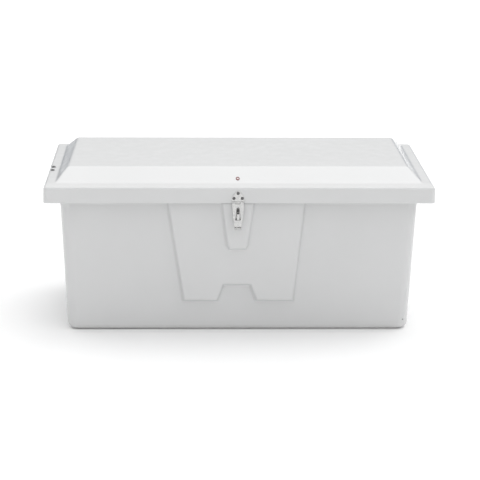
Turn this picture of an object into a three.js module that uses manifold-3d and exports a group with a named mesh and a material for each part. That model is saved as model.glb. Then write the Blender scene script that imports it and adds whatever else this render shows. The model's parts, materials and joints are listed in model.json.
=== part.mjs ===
// Fibreglass deck storage box: a tapered moulded body, an overhanging hinged lid with a raised
// crown, a continuous hinge, a slotted hasp over a swivelling staple, and one gas spring.
// Millimetres. +X is to the right along the box's length, -Y is the front, +Z is up, and z = 0
// is the ground. Shapes are worked out about the lid's centre, and the last step moves the whole
// box in y, so that the origin is at the bottom centre of its bounding box.

import * as THREE from "three";
import { ConvexGeometry } from "three/addons/geometries/ConvexGeometry.js";
import { mergeVertices } from "three/addons/utils/BufferGeometryUtils.js";
import Module from "manifold-3d";

const wasm = await Module();
wasm.setup();

// ---------------------------------------------------------------- driving dimensions

const gap = 0.3; // between pieces that touch
const overcut = 1; // how far a cutting tool runs past a face
const wall = 5; // laminate thickness

const lidLength = 1220;
const lidDepth = 610;
const skirtBottom = 435;
const ledgeTop = 486;
const skirtFlare = 1.3; // the skirt is wider at its bottom edge by this much on each side
const lidCorner = 14; // plan radius of the lid's corners
const lidEdge = 9; // radius between the ledge and the skirt

const crownFront = 61; // from the lid's front edge to the foot of the front slope
const crownCrease = 165; // from the lid's front edge to the crease
const crownBack = 569; // from the lid's front edge to the crown's back edge
const crownBackRun = 6; // plan run of the steep back face
const crownEnd = 35; // width of the end ledges
const creaseRise = 27;
const backRise = 32;
const endRun = 1.2; // plan run of an end slope for each unit of rise

const bodyCorner = 35; // plan radius of the body's corners
const footRadius = 22; // radius round the body's bottom edge
const footHalf = [547, 250]; // half length and half depth at the foot
const shoulderHalf = [561, 267]; // half length and half depth where the wall starts to flare
const shoulderHeight = 405;
const rimHalf = [590, 285]; // half length and half depth of the rim flange
const rimUnderside = 451;
const rimTop = 457;
const mouthHalf = [564, 264]; // half length and half depth of the opening at the rim

const linerBottom = 466;
const linerThickness = 4;

const handCentre = -5; // x of the hasp, just to the left of the middle
const raiseLow = 15; // how far the front pressing stands out of the wall
const raiseHigh = 30; // the same for the hasp pad on it
const pressSlope = 9; // plan run of the pressing's sloping sides

const hingeY = 309.2;
const hingeZ = skirtBottom;
const hingeHalf = 500; // half length of the hinge
const knuckles = 16;

const springX = -536; // the plane in which the gas spring swings
const springLower = [200, 345]; // y and z of its pivot on the body
const springUpper = [-62, 450]; // y and z of its pivot on the closed lid

const boltSides = 8;
const cornerSteps = 4;

// ---------------------------------------------------------------- materials

const finish = (color, roughness, metalness) =>
  new THREE.MeshStandardMaterial({ color, roughness, metalness });

const gelcoat = finish(0xeceded, 0.22, 0);
const linerCoat = finish(0xe2e3e2, 0.45, 0);
const foam = finish(0xd9cfa8, 0.9, 0);
const rubber = finish(0x1c1c1d, 0.85, 0);
const stainless = finish(0xb9bab8, 0.28, 1);
const brightSteel = finish(0xd5d6d6, 0.14, 1);
const blackPaint = finish(0x161718, 0.35, 0.2);
const redPlastic = finish(0x9c4a45, 0.4, 0);
const palePlastic = finish(0xe9e2e0, 0.35, 0);

// ---------------------------------------------------------------- solids

// One closed solid from a geometry, by its positions alone.
function toSolid(geometry) {
  const plain = geometry.clone();
  plain.deleteAttribute("normal");
  plain.deleteAttribute("uv");
  const merged = mergeVertices(plain, 1e-4);
  return new wasm.Manifold(new wasm.Mesh({
    numProp: 3,
    vertProperties: new Float32Array(merged.attributes.position.array),
    triVerts: new Uint32Array(merged.index.array),
  }));
}

function fromSolid(solid) {
  const { vertProperties, triVerts } = solid.getMesh();
  const geometry = new THREE.BufferGeometry();
  geometry.setAttribute("position", new THREE.BufferAttribute(vertProperties, 3));
  geometry.setIndex(new THREE.BufferAttribute(triVerts, 1));
  geometry.computeVertexNormals();
  return geometry;
}

const join = (...pieces) => fromSolid(pieces.map(toSolid).reduce((a, b) => a.add(b)));
const cut = (piece, ...tools) =>
  fromSolid(tools.map(toSolid).reduce((a, b) => a.subtract(b), toSolid(piece)));
const common = (a, b) => fromSolid(toSolid(a).intersect(toSolid(b)));

// A geometry turned about X, Y and Z in that order, then moved.
function placed(geometry, at, turn = [0, 0, 0]) {
  const [x, y, z] = turn;
  return geometry.clone().rotateX(x).rotateY(y).rotateZ(z).translate(...at);
}

const box = (size, at) => placed(new THREE.BoxGeometry(...size), at);

// A box between two opposite corners.
function span(low, high) {
  const size = high.map((value, i) => value - low[i]);
  return box(size, low.map((value, i) => value + size[i] / 2));
}

const turnTo = { x: [0, 0, -Math.PI / 2], y: [0, 0, 0], z: [Math.PI / 2, 0, 0] };

// A round bar centred at a point, along one axis.
function bar(radius, length, axis, at = [0, 0, 0], sides = 16) {
  return placed(new THREE.CylinderGeometry(radius, radius, length, sides), at, turnTo[axis]);
}

// A solid of revolution about +Y, from a profile that starts and ends on the axis.
const lathe = (profile, sides) =>
  new THREE.LatheGeometry(profile.map(([r, y]) => new THREE.Vector2(r, y)), sides);

// A flat outline in the X-Z plane, given thickness from y = back towards -Y.
function plate(outline, back, thickness) {
  const shape = new THREE.Shape(outline.map(([x, z]) => new THREE.Vector2(x, z)));
  const geometry = new THREE.ExtrudeGeometry(shape, { depth: thickness, bevelEnabled: false });
  return placed(geometry, [0, back, 0], [Math.PI / 2, 0, 0]);
}

// Points round an arc, as [x, z] pairs.
function arc(x, z, radius, from, to, steps) {
  return Array.from({ length: steps + 1 }, (_, i) => {
    const angle = THREE.MathUtils.degToRad(from + (to - from) * i / steps);
    return [x + radius * Math.cos(angle), z + radius * Math.sin(angle)];
  });
}

// The outline of a rounded rectangle about a centre, as [x, z] pairs.
function roundedOutline(halfX, halfZ, radius, x = 0, z = 0, steps = 4) {
  const corners = [[1, 1], [-1, 1], [-1, -1], [1, -1]];
  return corners.flatMap(([sx, sz], i) =>
    arc(x + sx * (halfX - radius), z + sz * (halfZ - radius), radius, i * 90, i * 90 + 90, steps));
}

// A level ring round a rounded rectangle.
const ring = ([halfX, halfY], radius, z) =>
  roundedOutline(halfX, halfY, radius, 0, 0, cornerSteps).map(([x, y]) => new THREE.Vector3(x, y, z));

// A skin through rings of equal count. The ends are capped, or joined to each other.
function loft(rings, endless = false) {
  const count = rings[0].length;
  const positions = rings.flat().flatMap((point) => point.toArray());
  const indices = [];
  const bands = endless ? rings.length : rings.length - 1;
  for (let band = 0; band < bands; band++) {
    const low = band * count;
    const high = ((band + 1) % rings.length) * count;
    for (let i = 0; i < count; i++) {
      const next = (i + 1) % count;
      indices.push(low + i, low + next, high + next);
      indices.push(low + i, high + next, high + i);
    }
  }
  if (!endless) {
    const last = (rings.length - 1) * count;
    for (let i = 1; i < count - 1; i++) {
      indices.push(0, i + 1, i);
      indices.push(last, last + i, last + i + 1);
    }
  }
  const geometry = new THREE.BufferGeometry();
  geometry.setAttribute("position", new THREE.Float32BufferAttribute(positions, 3));
  geometry.setIndex(indices);
  return geometry.toNonIndexed();
}

// ---------------------------------------------------------------- fasteners

// Fasteners are drawn with their heads towards +Y. These turns point the heads each way.
const headsToBack = [0, 0, 0];
const headsToFront = [0, 0, Math.PI];
const headsToLeft = [0, 0, Math.PI / 2];
const headsUp = [Math.PI / 2, 0, 0];

const shankRadius = 2.2;
const boreRadius = 2.7;
const headRadius = 5;
const headHeight = 3;
const nutRadius = 4.6;
const nutHeight = 3.4;
const ledgeShank = 2.6; // the bolts through the lid's end ledge

// A round-head bolt: the head stands on y = 0, and the shank goes down to y = -length.
function bolt(length) {
  return lathe([
    [0, -length], [shankRadius, -length], [shankRadius, 0], [headRadius, 0],
    [headRadius, headHeight * 0.25], [headRadius * 0.72, headHeight * 0.8], [0, headHeight],
  ], boltSides);
}

// A hexagon nut round a shank, from y = 0 down.
function nut(shank = shankRadius, radius = nutRadius) {
  const hexagon = plate(arc(0, 0, radius, 0, 300, 5), 0, nutHeight);
  return cut(hexagon, bar(shank + 1.2 * gap, 20, "y", [0, 0, 0], boltSides));
}

// A plate with a nut welded on round each hole: its outer face at y = face, its nuts inside.
function nutPlate(blank, places, nutFace, turn = headsToBack) {
  const side = turn === headsToBack ? 1 : -1;
  const root = side * gap; // the weld takes each nut a little way into the plate
  return join(cut(blank, ...bores(places)),
    ...places.map(([x, z]) => placed(nut(), [x, nutFace + root, z], turn)));
}

// Round holes along Y at [x, z] places.
const bores = (places, radius = boreRadius, reach = 80) =>
  places.map(([x, z]) => bar(radius, reach, "y", [x, 0, z], boltSides));

// ---------------------------------------------------------------- scene helpers

const chest = new THREE.Group();

// A group of the chest or of another group, at a point and turned about one axis.
function frameAt(at, axis = "x", angle = 0, parent = chest) {
  const group = new THREE.Group();
  group.position.set(...at);
  group.rotation[axis] = angle;
  parent.add(group);
  group.updateWorldMatrix(true, false);
  return group;
}

// A piece drawn in a group's frame, given in the chest's own frame.
const inChest = (group, geometry) => geometry.clone().applyMatrix4(group.matrixWorld);

function add(parent, name, geometry, material) {
  const mesh = new THREE.Mesh(geometry, material);
  mesh.name = name;
  parent.add(mesh);
  return mesh;
}

// Copies of one fastener, numbered from 1, each at its own point.
function addEach(parent, name, geometry, points, turn, material) {
  points.forEach((point, i) => {
    const mesh = add(parent, `${name}_${i + 1}`, geometry, material);
    mesh.position.set(...point);
    mesh.rotation.set(...turn);
  });
}

// An outline in the Y-Z plane, given thickness from x = start towards +X.
function sidePlate(outline, start, thickness) {
  const shape = new THREE.Shape(outline.map(([y, z]) => new THREE.Vector2(y, z)));
  const geometry = new THREE.ExtrudeGeometry(shape, { depth: thickness, bevelEnabled: false });
  return placed(geometry, [start, 0, 0], [Math.PI / 2, 0, Math.PI / 2]);
}

// ---------------------------------------------------------------- frames on the sloping faces

const flareAngle = Math.atan(skirtFlare / (ledgeTop - lidEdge - skirtBottom));
const wallRise = shoulderHeight - footRadius;
const frontAngle = Math.atan((shoulderHalf[1] - footHalf[1]) / wallRise);
const endAngle = Math.atan((shoulderHalf[0] - footHalf[0]) / wallRise);
const springWallX = -footHalf[0] - (springLower[1] - footRadius) * Math.tan(endAngle);

const skirtFront = frameAt([handCentre, -lidDepth / 2, skirtBottom], "x", -flareAngle);
const hingeOnLid = frameAt([0, hingeY, hingeZ], "x", flareAngle);
const hingeOnBody = frameAt([0, hingeY, hingeZ]);
const frontWall = frameAt([handCentre, -shoulderHalf[1], shoulderHeight], "x", frontAngle);
const hingeLedge = frameAt([0, shoulderHalf[1], shoulderHeight], "z", Math.PI);
const staplePad = frameAt([0, -raiseHigh, -7], "x", 0, frontWall);
const leftWall = frameAt([springWallX, ...springLower], "y", -endAngle);

// ---------------------------------------------------------------- fastener places

const bladeThickness = 1.5;
const faceToAxis = lidDepth / 2 - hingeY; // the skirt's back face, seen from the hinge axis
const hingeBoltX = Array.from({ length: 7 }, (_, i) => (i - 3) * 150);
const lidLeafPlaces = hingeBoltX.map((x) => [x, 20]);
const bodyLeafPlaces = hingeBoltX.map((x) => [x, -25]);
const haspPlaces = [[0, 33], [-13, 17], [13, 17]];
const staplePlaces = [[0, 14.5], [0, -14.5]];
const bracketPlaces = [[0, 17], [0, -17]];
const stemRadius = 4; // the turning staple's stem
const ledgeBoltX = -596;
const ledgeBoltY = [springUpper[0] - 21.5, springUpper[0] + 21.5];

// ---------------------------------------------------------------- body

// A raised panel with sloping sides, from the X-Z plane towards -Y. The outline is the one
// halfway up the slope, and the panel is rooted in the wall behind the plane.
function pressing(outline, raise, slope, grow = 0) {
  const reach = lidLength;
  const shape = new THREE.Shape(outline.map(([x, z]) => new THREE.Vector2(x, z)));
  const geometry = new THREE.ExtrudeGeometry(shape, {
    depth: wall, bevelThickness: raise, bevelSize: slope, bevelOffset: grow - slope / 2, bevelSegments: 1,
  });
  const root = span([-reach, -raise - overcut, -reach], [reach, wall / 2, reach]);
  return common(placed(geometry, [0, wall, 0], [Math.PI / 2, 0, 0]), root);
}

// Outlines from the shoulder of the front wall downwards, about the hasp's centre line.
const lowOutline = [
  [212, 34], [-221, 34], [-170, -302], [-62, -302], [-42, -248], [42, -248], [62, -302], [180, -302],
];
const highOutline = [[52, 34], [-52, 34], [-33, -112], [-26, -124], [26, -124], [33, -112]];
const ledgeOutline = [[530, 27], [-530, 27], [-530, -17], [530, -17]];

const weepRadius = 2.4;
const weepHeight = 34;

function pressings(grow, back) {
  const low = pressing(lowOutline, raiseLow, pressSlope, grow);
  const high = placed(pressing(highOutline, raiseHigh - raiseLow, pressSlope, grow), [0, -raiseLow, 0]);
  const ledge = pressing(ledgeOutline, lidDepth / 2 - shoulderHalf[1], 12, grow);
  return [
    inChest(frontWall, placed(low, [0, back, 0])),
    inChest(frontWall, placed(high, [0, back, 0])),
    inChest(hingeLedge, placed(ledge, [0, back, 0])),
  ];
}

function bodyShell() {
  const shrink = ([x, y], amount) => [x - amount, y - amount];
  const between = (low, high, share) => low.map((value, i) => value + (high[i] - value) * share);
  // The rounded foot, from the ground up to the wall, for a skin this far inside the outer one.
  const foot = (inset) => Array.from({ length: cornerSteps + 1 }, (_, i) => {
    const angle = i / cornerSteps * Math.PI / 2;
    const radius = footRadius - inset;
    const inwards = radius * (1 - Math.sin(angle));
    const half = shrink(footHalf, inset + inwards);
    return ring(half, bodyCorner - inset - inwards, inset + radius * (1 - Math.cos(angle)));
  });
  const outer = [
    ...foot(0),
    ring(shoulderHalf, bodyCorner, shoulderHeight),
    ring(between(shoulderHalf, rimHalf, 0.1), bodyCorner + 1, shoulderHeight + 18),
    ring(between(shoulderHalf, rimHalf, 0.34), bodyCorner + 3, shoulderHeight + 34),
    ring(rimHalf, bodyCorner + 10, rimUnderside),
    ring(rimHalf, bodyCorner + 10, rimTop),
  ];
  const inner = [
    ring(mouthHalf, bodyCorner, rimTop),
    ring(between(shrink(shoulderHalf, wall), mouthHalf, 0.3), bodyCorner - 3, shoulderHeight + 34),
    ring(shrink(shoulderHalf, wall), bodyCorner - wall, shoulderHeight),
    ...foot(wall).reverse(),
  ];
  const shell = loft([...outer, ...inner]);

  const weepAngle = THREE.MathUtils.degToRad(-60);
  const weepCentre = footHalf.map((half) => half - bodyCorner);
  const weep = placed(bar(weepRadius, 2 * bodyCorner, "x", [bodyCorner, 0, 0], boltSides),
    [weepCentre[0], -weepCentre[1], weepHeight], [0, 0, weepAngle]);
  return cut(join(shell, ...pressings(0, 0)), ...pressings(-wall * 0.9, wall), weep,
    ...bores(bodyLeafPlaces).map((tool) => inChest(hingeOnBody, tool)),
    ...bores(staplePlaces).map((tool) => inChest(staplePad, tool)),
    inChest(staplePad, bar(stemRadius + 0.7, 80, "y")),
    ...bores(bracketPlaces, boreRadius, 60).map((tool) =>
      inChest(leftWall, placed(tool, [0, 0, 0], headsToLeft))));
}

// The seal's section: half length, half width and corner of each ring, and its height above the rim.
const gasketRings = [
  [585, 281, 40, 0], [585, 281, 40, 5], [579.5, 275.5, 35, 8.7], [574, 270, 30, 5], [574, 270, 30, 0],
];
const rimGasket = () =>
  loft(gasketRings.map(([x, y, radius, up]) => ring([x, y], radius, rimTop + gap + up)), true);

// ---------------------------------------------------------------- lid

// The crown between its five sloping planes, each moved inwards by the inset. Its floor lies
// below the ledge by the sink.
function crown(inset, sink) {
  const front = crownFront - lidDepth / 2;
  const crease = crownCrease - lidDepth / 2;
  const back = crownBack - lidDepth / 2;
  const half = lidLength / 2 - crownEnd;
  const rise = creaseRise / (crease - front);
  const fall = (backRise - creaseRise) / (back - crease);
  // Each plane: its outward normal, and a point on it.
  const faces = {
    front: [[0, -rise, 1], [0, front, ledgeTop]],
    top: [[0, -fall, 1], [0, crease, ledgeTop + creaseRise]],
    back: [[0, backRise, crownBackRun], [0, back, ledgeTop + backRise]],
    left: [[-1, 0, endRun], [-half, 0, ledgeTop]],
    right: [[1, 0, endRun], [half, 0, ledgeTop]],
    floor: [[0, 0, 1], [0, 0, ledgeTop - sink]],
  };
  const planes = Object.fromEntries(Object.entries(faces).map(([name, [normal, point]]) => {
    const unit = new THREE.Vector3(...normal).normalize();
    return [name, { unit, reach: unit.dot(new THREE.Vector3(...point)) - inset }];
  }));
  const corner = (...names) => {
    const rows = names.flatMap((name) => planes[name].unit.toArray());
    const reaches = names.map((name) => planes[name].reach);
    return new THREE.Vector3(...reaches).applyMatrix3(new THREE.Matrix3(...rows).invert());
  };
  return new ConvexGeometry(["left", "right"].flatMap((end) => [
    corner("floor", "front", end), corner("front", "top", end),
    corner("top", "back", end), corner("back", "floor", end),
  ]));
}

function lidShell() {
  const half = [lidLength / 2, lidDepth / 2];
  const inside = (amount) => half.map((value) => value - amount);
  const edge = Array.from({ length: cornerSteps + 1 }, (_, i) => {
    const angle = i / cornerSteps * Math.PI / 2;
    const inwards = lidEdge * (1 - Math.cos(angle));
    const height = ledgeTop - lidEdge * (1 - Math.sin(angle));
    return ring(inside(skirtFlare + inwards), lidCorner - inwards, height);
  });
  const outer = join(loft([ring(half, lidCorner, skirtBottom), ...edge]), crown(0, 2));
  const hollow = join(loft([
    ring(inside(wall), lidCorner - wall, skirtBottom - overcut),
    ring(inside(wall + skirtFlare), lidCorner - wall, ledgeTop - wall),
  ]), crown(wall, 1));
  return cut(outer, hollow,
    ...bores(lidLeafPlaces, boreRadius, 60).map((tool) => inChest(hingeOnLid, tool)),
    ...bores(haspPlaces, boreRadius, 60).map((tool) => inChest(skirtFront, tool)),
    ...ledgeBoltY.map((y) => bar(ledgeShank + 0.5, 60, "z", [ledgeBoltX, y, ledgeTop], boltSides)));
}

const linerTop = linerBottom + linerThickness;
const earX = -552; // the lid bracket's ear hangs inside the chest, near its left end
const bracketY = [springUpper[0] - 30, springUpper[0] + 30];
const earHalf = 13;
const bracketTop = ledgeTop - wall - gap;
const bracketThickness = 3;

function lidLiner() {
  const blank = roundedOutline(lidLength / 2 - 6.6, lidDepth / 2 - 6.6, 8);
  const panel = placed(plate(blank, 0, linerThickness), [0, 0, linerBottom], [-Math.PI / 2, 0, 0]);
  const earSlot = span([earX - 2, springUpper[0] - earHalf - 2, linerBottom - overcut],
    [earX + 5, springUpper[0] + earHalf + 2, linerTop + overcut]);
  const haspNotch = span([handCentre - 21, -lidDepth / 2, linerBottom - overcut],
    [handCentre + 21, -lidDepth / 2 + 19, linerTop + overcut]);
  return cut(panel, earSlot, haspNotch);
}

function lidCore() {
  const slab = span([-560, -230, linerTop + gap], [560, 252, bracketTop]);
  const bracketPocket = span([-lidLength / 2, bracketY[0] - 3, linerTop - overcut],
    [earX + 8, bracketY[1] + 3, bracketTop + 2]);
  return cut(join(slab, crown(wall + gap, 1)), bracketPocket);
}

// A plain badge on the front slope: a red ring round a pale button.
const slopeAngle = Math.atan(creaseRise / (crownCrease - crownFront));
const badgeBack = 87; // from the lid's front edge
const badge = frameAt([handCentre + 1, badgeBack - lidDepth / 2,
  ledgeTop + (badgeBack - crownFront) * Math.tan(slopeAngle)], "x", slopeAngle);
const badgeStretch = 1.85; // the badge is an oval, longer up the slope than across it
const badgePart = (profile) => placed(lathe(profile, 20), [0, 0, 0], headsUp).scale(1, badgeStretch, 1);
const badgeRing = () => badgePart([[3.3, gap], [5.9, gap], [5.9, 1.1], [4.7, 1.8], [3.3, 1.4], [3.3, gap]]);
const badgeButton = () => badgePart([[0, gap], [2.9, gap], [2.9, 1], [0, 1.5]]);

// ---------------------------------------------------------------- continuous hinge

const knuckleRadius = 3.5;
const pinRadius = 1.5;
const knuckleBore = 1.9;
const knuckleLength = 2 * hingeHalf / knuckles;
const bladeFrom = 4.4; // from the axis to the blade's edge, clear of the other leaf's knuckles

// One leaf, with every second knuckle. side is 1 for the lid's leaf and -1 for the body's.
function hingeLeaf(side, width, places) {
  const back = faceToAxis + gap;
  const low = Math.min(side * bladeFrom, side * width);
  const high = Math.max(side * bladeFrom, side * width);
  const pieces = [span([-hingeHalf, back, low], [hingeHalf, back + bladeThickness, high])];
  for (let i = side > 0 ? 0 : 1; i < knuckles; i += 2) {
    const centre = -hingeHalf + (i + 0.5) * knuckleLength;
    const half = knuckleLength / 2 - gap;
    const root = [side * (bladeFrom + 0.5), side * 0.2].sort((a, b) => a - b);
    pieces.push(span([centre - half, back, root[0]], [centre + half, back + bladeThickness, root[1]]));
    pieces.push(bar(knuckleRadius, 2 * half, "x", [centre, 0, 0], 12));
  }
  return cut(join(...pieces), bar(knuckleBore, 3 * hingeHalf, "x", [0, 0, 0], 12), ...bores(places));
}

const stripThickness = 3;
const stripFace = faceToAxis - wall - gap; // a backing strip's outer face, seen from the hinge axis
const hingeBoltLength = wall + bladeThickness + stripThickness + nutHeight + 4 * gap;

const hingeBoltFace = faceToAxis + bladeThickness + 2 * gap;

const hingeStrip = (z, places) =>
  nutPlate(span([-hingeHalf, stripFace - stripThickness, z - 9], [hingeHalf, stripFace, z + 9]), places,
    stripFace - stripThickness);

// ---------------------------------------------------------------- hasp and staple

const haspPin = { y: -3.9, z: 3, radius: 1.5, knuckle: 3.2 };
const plateThickness = 1.8;
const haspHalf = 19;
const haspTop = arc(0, 31, 9, 25, 155, 6); // the round top of the hasp's plates
const middleKnuckle = 7;

function haspPlate() {
  const outline = [
    [-haspHalf, 7], [haspHalf, 7], [haspHalf, 20], ...haspTop, [-haspHalf, 20],
  ];
  const tab = span([-middleKnuckle, -gap - plateThickness, haspPin.z], [middleKnuckle, -gap, 8]);
  const knuckle = bar(haspPin.knuckle, 2 * middleKnuckle, "x", [0, haspPin.y, haspPin.z]);
  return cut(join(plate(outline, -gap, plateThickness), tab, knuckle),
    bar(haspPin.radius + 0.4, 99, "x", [0, haspPin.y, haspPin.z]), ...bores(haspPlaces));
}

const haspBacking = () => {
  const outline = [
    [-haspHalf, 9], [haspHalf, 9], [haspHalf, 24], ...haspTop, [-haspHalf, 24],
  ];
  const inner = wall + gap + plateThickness;
  return nutPlate(plate(outline, inner, plateThickness), haspPlaces, inner, headsToFront);
};

// The strap, about its pin: a tapered tongue whose tip curls forwards, with a slot that widens
// downwards, and a knuckle at each side of the plate's.
function haspStrap() {
  const half = 1.1;
  const curlRadius = 4.6;
  const tongueEnd = -80;
  const curl = (radius) => arc(-curlRadius, tongueEnd, radius, 0, -180, 10);
  const profile = [[half, 0], [-half, 0], ...curl(curlRadius - half), ...curl(curlRadius + half).reverse()];
  const face = [[18.5, 4], [-18.5, 4], [-18.3, -8], [-15.4, -46], [-12.6, -62], [-11.2, -74], [-11.2, -90],
    [11.2, -90], [11.2, -74], [12.6, -62], [15.4, -46], [18.3, -8]];
  const slot = [
    ...arc(0, -19, 5, 12, 168, 6), ...arc(-5.5, -53.5, 3, 170, 270, 4), ...arc(5.5, -53.5, 3, 270, 370, 4),
  ];
  const tongue = common(sidePlate(profile, -30, 60), plate(face, 40, 80));
  const sides = [-1, 1].map((side) => {
    const inner = middleKnuckle + gap;
    return bar(haspPin.knuckle, 18.5 - inner, "x", [side * (18.5 + inner) / 2, 0, 0]);
  });
  const middle = box([2 * (middleKnuckle + gap), 20, 2 * (haspPin.knuckle + 0.6)], [0, 0, 0]);
  return cut(join(cut(tongue, middle), ...sides), bar(haspPin.radius + 0.4, 99, "x"), plate(slot, 40, 80));
}

const stapleOutline = roundedOutline(14, 20.5, 5);
const stapleThickness = 2;

const staplePlate = () => cut(plate(stapleOutline, -gap, stapleThickness), ...bores(staplePlaces),
  bar(stemRadius + 0.5, 80, "y"));
const stapleBacking = () => {
  const inner = wall + gap + stapleThickness;
  const blank = cut(plate(stapleOutline, inner, stapleThickness), bar(stemRadius + 0.5, 80, "y"));
  return nutPlate(blank, staplePlaces, inner, headsToFront);
};

// The turning staple: a round stem through the pad, and a flat head with the padlock's hole.
const eyeHead = { front: -31, back: -14.3, halfHeight: 10.5, halfThickness: 4, bore: 4.4 };
const stemEnd = wall + stapleThickness + 6;

function stapleEye() {
  const { front, back, halfHeight, halfThickness, bore } = eyeHead;
  const middle = (front + back) / 2;
  const outline = roundedOutline((back - front) / 2, halfHeight, 5, middle, 0);
  const head = sidePlate(outline, -halfThickness, 2 * halfThickness);
  const stem = bar(stemRadius, stemEnd - back + 2, "y", [0, (stemEnd + back - 2) / 2, 0]);
  return cut(join(head, stem), bar(bore, 40, "x", [0, middle, 0]));
}

const eyeRetainer = () => {
  const near = wall + stapleThickness + 2 * gap;
  const far = near + 3;
  const bore = stemRadius + gap;
  return lathe([[bore, near], [7, near], [7, far], [bore, far], [bore, near]], 16);
};

// ---------------------------------------------------------------- gas spring

const springRun = springUpper.map((value, i) => value - springLower[i]);
const springLength = Math.hypot(...springRun);
const spring = frameAt([springX, ...springLower], "x", Math.atan2(springRun[1], springRun[0]));

const socketRadius = 8;
const socketAhead = 17; // from a pivot to the face that meets the cylinder or the rod
const socketBehind = 9;
const cylinderLength = 215;
const ballRadius = 4.8;

function lowerSocket() {
  const barrel = bar(socketRadius, socketAhead + socketBehind, "y", [0, (socketAhead - socketBehind) / 2, 0]);
  return cut(barrel, bar(ballRadius + 0.9, 30, "x", [ballRadius + 1 - 15, 0, 0]));
}

// The cylinder is open at the end that the rod comes out of.
const gasCylinder = () => {
  const start = socketAhead + gap;
  const end = start + cylinderLength;
  return lathe([
    [0, start], [9, start], [9, end - 2], [8, end], [4.6, end], [4.6, end - 7], [7.7, end - 7],
    [7.7, start + 4], [0, start + 4],
  ], 16);
};

const gasRod = () => {
  const piston = socketAhead + 5;
  return lathe([[0, piston], [7, piston], [7, piston + 6], [4, piston + 6],
    [4, springLength - socketAhead - gap], [0, springLength - socketAhead - gap]], 16);
};

const upperSocket = () => bar(socketRadius, socketAhead + socketBehind, "y",
  [0, springLength + (socketBehind - socketAhead) / 2, 0]);

const bracketOutline = roundedOutline(23, 26, 6);
const bodyBracket = () => cut(sidePlate(bracketOutline, wall + gap, bracketThickness),
  ...bores(bracketPlaces, boreRadius, 60).map((tool) => placed(tool, [0, 0, 0], headsToLeft)));

function lowerStud() {
  const start = wall + bracketThickness + 2 * gap;
  const ballAt = springX - springWallX;
  return join(bar(8, 2, "x", [start + 1, 0, 0], 12),
    bar(3, ballAt - start, "x", [(start + ballAt) / 2, 0, 0], 12),
    placed(new THREE.SphereGeometry(ballRadius, 12, 8), [ballAt, 0, 0]));
}

function lidBracket() {
  const top = span([ledgeBoltX - 6, bracketY[0], bracketTop - bracketThickness],
    [earX + bracketThickness, bracketY[1], bracketTop]);
  const [y, z] = springUpper;
  const earOutline = [[y - earHalf, bracketTop], ...arc(y, z, 9, 200, 340, 8), [y + earHalf, bracketTop]];
  const tools = ledgeBoltY.map((bolted) =>
    bar(ledgeShank + 0.5, 30, "z", [ledgeBoltX, bolted, bracketTop], boltSides));
  return cut(join(top, sidePlate(earOutline, earX, bracketThickness)), ...tools);
}

// The upper pivot is left open: its stub stops short of the rod's socket.
const upperStud = () => {
  const start = earX + bracketThickness + gap;
  const end = springX - socketRadius - 1;
  return bar(5, end - start, "x", [(start + end) / 2, ...springUpper]);
};

const ledgeHead = 6.6;
const ledgeBolt = () => {
  const length = wall + bracketThickness + nutHeight + 1;
  return lathe([[0, -length], [ledgeShank, -length], [ledgeShank, 0], [ledgeHead, 0], [ledgeHead, 1.2],
    [ledgeHead * 0.75, 3], [0, 3.8]], 12);
};
const ledgeNutPoints = ledgeBoltY.map((y) => [ledgeBoltX, y, bracketTop - bracketThickness - gap]);
const ledgePoints = ledgeBoltY.map((y) => [ledgeBoltX, y, ledgeTop + gap]);

// ---------------------------------------------------------------- assembly

add(chest, "body_shell", bodyShell(), gelcoat);
add(chest, "rim_gasket", rimGasket(), rubber);

add(chest, "lid_shell", lidShell(), gelcoat);
add(chest, "lid_liner", lidLiner(), linerCoat);
add(chest, "lid_core", lidCore(), foam);
add(badge, "badge_ring", badgeRing(), redPlastic);
add(badge, "badge_button", badgeButton(), palePlastic);

add(hingeOnBody, "hinge_leaf_body", hingeLeaf(-1, 38, bodyLeafPlaces), stainless);
add(hingeOnBody, "hinge_pin", bar(pinRadius, 2 * hingeHalf + 4, "x", [0, 0, 0], 12), brightSteel);
add(hingeOnBody, "hinge_strip_body", hingeStrip(-25, bodyLeafPlaces), stainless);
add(hingeOnLid, "hinge_leaf_lid", hingeLeaf(1, 34, lidLeafPlaces), stainless);
add(hingeOnLid, "hinge_strip_lid", hingeStrip(20, lidLeafPlaces), stainless);
const outwards = (depth) => ([x, z]) => [x, depth, z];
const hingeBolt = bolt(hingeBoltLength);
addEach(hingeOnBody, "hinge_bolt_body", hingeBolt, bodyLeafPlaces.map(outwards(hingeBoltFace)), headsToBack,
  brightSteel);
addEach(hingeOnLid, "hinge_bolt_lid", hingeBolt, lidLeafPlaces.map(outwards(hingeBoltFace)), headsToBack,
  brightSteel);

const haspBoltFace = -plateThickness - 2 * gap;
const haspBolt = bolt(wall + 2 * plateThickness + nutHeight + 4 * gap);
add(skirtFront, "hasp_plate", haspPlate(), brightSteel);
add(skirtFront, "hasp_backing", haspBacking(), stainless);
add(skirtFront, "hasp_pin", bar(haspPin.radius, 2 * haspHalf, "x", [0, haspPin.y, haspPin.z]), brightSteel);
addEach(skirtFront, "hasp_bolt", haspBolt, haspPlaces.map(outwards(haspBoltFace)), headsToFront, brightSteel);

const strapPivot = frameAt(
  new THREE.Vector3(0, haspPin.y, haspPin.z).applyMatrix4(skirtFront.matrixWorld).toArray());
add(strapPivot, "hasp_strap", haspStrap(), brightSteel);

const stapleBoltFace = -stapleThickness - 2 * gap;
const stapleBolt = bolt(wall + 2 * stapleThickness + nutHeight + 4 * gap);
add(staplePad, "staple_plate", staplePlate(), stainless);
add(staplePad, "staple_backing", stapleBacking(), stainless);
addEach(staplePad, "staple_bolt", stapleBolt, staplePlaces.map(outwards(stapleBoltFace)), headsToFront,
  brightSteel);
add(staplePad, "staple_eye", stapleEye(), brightSteel);
add(staplePad, "eye_retainer", eyeRetainer(), stainless);

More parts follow.
